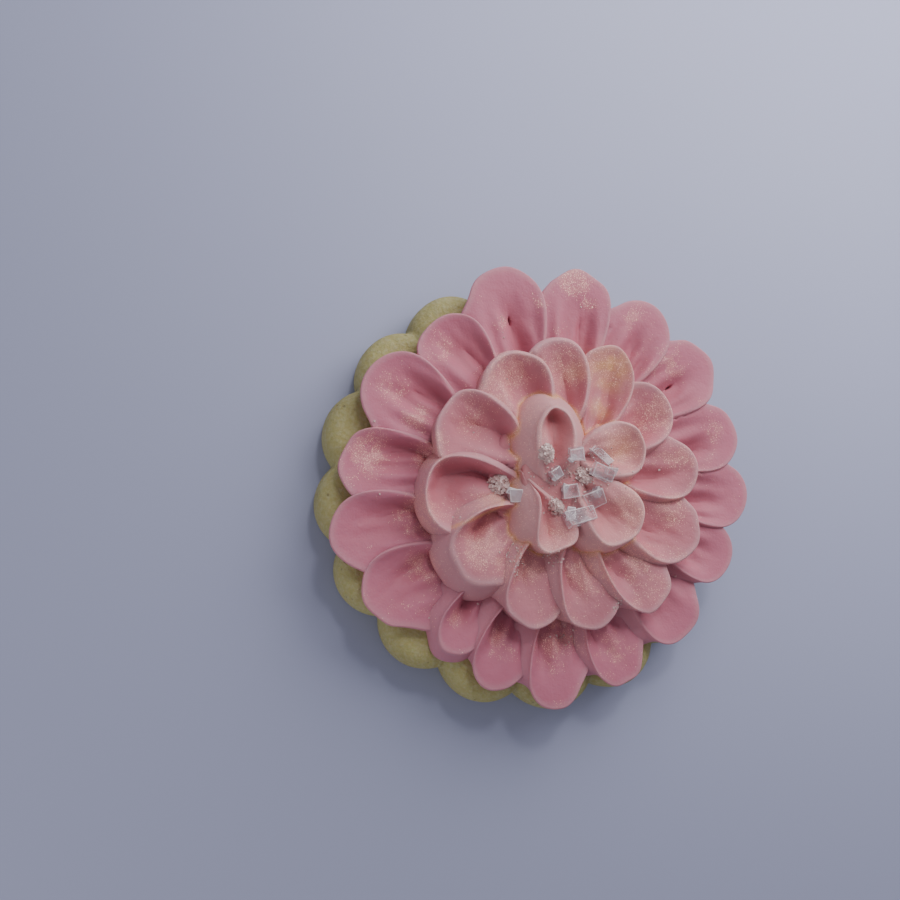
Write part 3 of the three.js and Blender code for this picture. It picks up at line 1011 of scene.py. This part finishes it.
def grain_tree(material):
    """Geometry Nodes that scatter sugar grains where the attribute named sugar says."""
    tree = bpy.data.node_groups.new("fine_sugar_scatter", "GeometryNodeTree")
    sockets = tree.interface
    sockets.new_socket("Geometry", in_out="INPUT", socket_type="NodeSocketGeometry")
    sockets.new_socket("Density", in_out="INPUT", socket_type="NodeSocketFloat")
    sockets.new_socket("Grain", in_out="INPUT", socket_type="NodeSocketFloat")
    sockets.new_socket("Seed", in_out="INPUT", socket_type="NodeSocketInt")
    sockets.new_socket("Geometry", in_out="OUTPUT", socket_type="NodeSocketGeometry")
    nodes = tree.nodes
    link = tree.links.new
    source = nodes.new("NodeGroupInput")
    target = nodes.new("NodeGroupOutput")
    patch = nodes.new("GeometryNodeInputNamedAttribute")
    patch.data_type = "FLOAT"
    patch.inputs["Name"].default_value = "sugar"
    amount = nodes.new("ShaderNodeMath")
    amount.operation = "MULTIPLY"
    link(patch.outputs["Attribute"], amount.inputs[0])
    link(source.outputs["Density"], amount.inputs[1])
    scatter = nodes.new("GeometryNodeDistributePointsOnFaces")
    link(source.outputs["Geometry"], scatter.inputs["Mesh"])
    link(amount.outputs[0], scatter.inputs["Density"])
    link(source.outputs["Seed"], scatter.inputs["Seed"])
    grain = nodes.new("GeometryNodeMeshCube")
    grain.inputs["Size"].default_value = (1, 0.8, 0.7)
    turn = nodes.new("FunctionNodeRandomValue")
    turn.data_type = "FLOAT_VECTOR"
    turn.inputs[1].default_value = (TAU, TAU, TAU)
    link(source.outputs["Seed"], turn.inputs["Seed"])
    size = nodes.new("FunctionNodeRandomValue")
    size.inputs[2].default_value = 0.5
    size.inputs[3].default_value = 1.3
    scaled = nodes.new("ShaderNodeMath")
    scaled.operation = "MULTIPLY"
    link(size.outputs[1], scaled.inputs[0])
    link(source.outputs["Grain"], scaled.inputs[1])
    strew = nodes.new("GeometryNodeInstanceOnPoints")
    link(scatter.outputs["Points"], strew.inputs["Points"])
    link(grain.outputs["Mesh"], strew.inputs["Instance"])
    link(turn.outputs[0], strew.inputs["Rotation"])
    link(scaled.outputs[0], strew.inputs["Scale"])
    real = nodes.new("GeometryNodeRealizeInstances")
    link(strew.outputs["Instances"], real.inputs["Geometry"])
    paint = nodes.new("GeometryNodeSetMaterial")
    paint.inputs["Material"].default_value = material
    link(real.outputs["Geometry"], paint.inputs["Geometry"])
    link(paint.outputs["Geometry"], target.inputs["Geometry"])
    return tree


def patch_weights(mesh):
    """How thickly fine sugar lies at each vertex, as soft round patches on surfaces that face up."""
    points = np.empty(len(mesh.vertices) * 3)
    mesh.vertices.foreach_get("co", points)
    points = points.reshape(-1, 3) / MM
    normals = np.array([normal.vector.z for normal in mesh.vertex_normals])
    weight = np.zeros(len(points))
    for x, y, spread in SUGAR_PATCHES:
        weight += np.exp(-((points[:, 0] - x) ** 2 + (points[:, 1] - y) ** 2) / (2 * spread**2))
    return np.clip(weight**1.5 + 0.001, 0, 1) * (normals > UPWARD)


def scatter_grains(name, carrier, settings, material):
    """A plain mesh of sugar grains scattered on a carrier piece."""
    copy = bpy.data.objects.new(name, carrier.data.copy())
    bpy.context.scene.collection.objects.link(copy)
    layer = copy.data.attributes.new("sugar", "FLOAT", "POINT")
    layer.data.foreach_set("value", patch_weights(copy.data).astype(np.float32))
    modifier = copy.modifiers.new("scatter", "NODES")
    modifier.node_group = grain_tree(material)
    inputs = [item for item in modifier.node_group.interface.items_tree if item.in_out == "INPUT"]
    sockets = {item.name: item.identifier for item in inputs}
    modifier[sockets["Density"]] = settings.density
    modifier[sockets["Grain"]] = settings.grain
    modifier[sockets["Seed"]] = settings.seed
    bpy.context.view_layer.update()
    evaluated = copy.evaluated_get(bpy.context.evaluated_depsgraph_get())
    plain = bpy.data.meshes.new_from_object(evaluated)
    copy.modifiers.clear()
    copy.data = plain
    return copy


def dress(piece, slot, *nodes):
    """Makes a finished piece part of the cookie."""
    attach(piece, "root")
    if nodes:
        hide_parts(*nodes)


class COOKIE_OT_biscuit(bpy.types.Operator):
    """Build the scalloped biscuit"""

    bl_idname = "cookie.biscuit"
    bl_label = "Biscuit"

    def execute(self, context):
        settings = context.scene.cookie_biscuit
        piece = mesh_object("baked_biscuit", biscuit_parts(3))
        piece.data.materials.append(biscuit_material(settings))
        dress(piece, "biscuit", "biscuit")
        return {"FINISHED"}


class COOKIE_OT_icing(bpy.types.Operator):
    """Pipe the three tiers of icing petals"""

    bl_idname = "cookie.icing"
    bl_label = "Icing flower"

    def execute(self, context):
        settings = context.scene.cookie_icing
        outer_pink = list(settings.outer_pink)
        inner_pink = list(settings.inner_pink)
        middle_pink = [mix(a, b, 0.35) for a, b in zip(outer_pink, inner_pink)]
        # Each tier: name, shapes, points round a petal, colour, warmth, painted highlight on its lips and
        # walls
        tiers = (
            ("outer", OUTER_TIER, OUTER_PETALS, 96, outer_pink, 0.0, 0.28),
            ("middle", MIDDLE_TIER, MIDDLE_PETALS, 104, middle_pink, 0.08, 0.4),
            ("inner", INNER_TIER, INNER_PETALS, 128, inner_pink, 0.06, 0.4),
        )
        pieces = []
        for order, (place, tier, petals, sides, pink, warmth, edge) in enumerate(tiers):
            name = f"{place}_icing_petals"
            piece = tier_object(name, tier, petals, settings.seed + order, sides)
            piece.data.materials.append(icing_material(name, settings, pink, warmth, edge))
            dress(piece, f"{place}_icing", f"{place}_petals")
            pieces.append(piece)
        gild_joint(pieces[1], pieces[2])
        gild_joint(pieces[2], pieces[1])
        return {"FINISHED"}


class COOKIE_OT_sugar(bpy.types.Operator):
    """Strew coarse crystals and fine sugar on the icing"""

    bl_idname = "cookie.sugar"
    bl_label = "Sugar"

    def execute(self, context):
        settings = context.scene.cookie_sugar
        tiers = [bpy.data.objects[f"{name}_icing_petals"] for name in ("outer", "middle", "inner")]
        height = surface_below(tiers)
        fine = sugar_material("fine_sugar", FINE_TINT, 0.8, 0.25)
        blocks = sugar_blocks(settings, height)
        blocks.data.materials.append(sugar_material("coarse_sugar", COARSE_TINT, 0.38, 0.12))
        dress(blocks, "sugar_crystal")
        clumps = sugar_clumps(settings, height)
        clumps.data.materials.append(fine)
        dress(clumps, "sugar_crystal")
        for tier in tiers:
            grains = scatter_grains(tier.name.replace("icing_petals", "fine_sugar"), tier, settings, fine)
            dress(grains, "sugar_crystal")
        return {"FINISHED"}


class COOKIE_OT_stage(bpy.types.Operator):
    """Set the table, the light and the camera"""

    bl_idname = "cookie.stage"
    bl_label = "Stage"

    def lamp(self, name, power, place, size):
        """An area lamp that faces the cookie."""
        light = bpy.data.lights.new(name, "AREA")
        light.shape = "RECTANGLE"
        light.size, light.size_y = size
        light.energy = power
        light.color = LAMP_COLOUR
        lamp = bpy.data.objects.new(name, light)
        lamp.location = place
        lamp.rotation_euler = (-lamp.location).to_track_quat("-Z", "Y").to_euler()
        bpy.context.scene.collection.objects.link(lamp)

    def camera(self, scene):
        """The camera, where the photograph was taken from, with the cookie's +Y up in its picture."""
        lens = bpy.data.cameras.new("camera")
        lens.lens = CAMERA_LENS
        lens.sensor_width = CAMERA_SENSOR
        lens.clip_start = 0.01
        eye = CAMERA_EYE * MM
        forward = (CAMERA_AIM * MM - eye).normalized()
        right = forward.cross(Vector((0, 1, 0))).normalized()
        up = right.cross(forward)
        view = bpy.data.objects.new("camera", lens)
        view.matrix_world = Matrix.Translation(eye) @ Matrix((right, up, -forward)).transposed().to_4x4()
        scene.collection.objects.link(view)
        scene.camera = view

    def execute(self, context):
        settings = context.scene.cookie_stage
        scene = context.scene
        bpy.ops.mesh.primitive_plane_add(size=TABLE_WIDTH)
        floor = context.object
        floor.name = "table"
        floor.data.materials.append(floor_material(settings))
        world = bpy.data.worlds.new("room")
        world.use_nodes = True
        light = world.node_tree.nodes["Background"]
        light.inputs["Color"].default_value = ROOM_COLOUR
        light.inputs["Strength"].default_value = settings.room
        scene.world = world
        for name, lamp in LAMPS.items():
            self.lamp(name, getattr(settings, name), **lamp)
        self.camera(scene)
        return {"FINISHED"}


class COOKIE_PT_panel(bpy.types.Panel):
    """Lists the cookie's builders"""

    bl_idname = "COOKIE_PT_panel"
    bl_label = "Iced Sugar Cookie"
    bl_space_type = "VIEW_3D"
    bl_region_type = "UI"
    bl_category = "Cookie"

    def draw(self, context):
        for builder in BUILDERS:
            self.layout.operator(builder.bl_idname)
        for name in SETTINGS:
            group = getattr(context.scene, name)
            for title in group.__annotations__:
                self.layout.prop(group, title)


BUILDERS = (COOKIE_OT_biscuit, COOKIE_OT_icing, COOKIE_OT_sugar, COOKIE_OT_stage)
SETTINGS = {
    "cookie_icing": IcingSettings,
    "cookie_biscuit": BiscuitSettings,
    "cookie_sugar": SugarSettings,
    "cookie_stage": StageSettings,
}


def register():
    for group in (*SETTINGS.values(), *BUILDERS, COOKIE_PT_panel):
        bpy.utils.register_class(group)
    for name, group in SETTINGS.items():
        setattr(bpy.types.Scene, name, PointerProperty(type=group))


def unregister():
    for name in SETTINGS:
        delattr(bpy.types.Scene, name)
    for group in reversed((*SETTINGS.values(), *BUILDERS, COOKIE_PT_panel)):
        bpy.utils.unregister_class(group)


def main():
    register()
    bpy.ops.cookie.biscuit()
    bpy.ops.cookie.icing()
    bpy.ops.cookie.sugar()
    bpy.ops.cookie.stage()


if __name__ == "__main__":
    main()
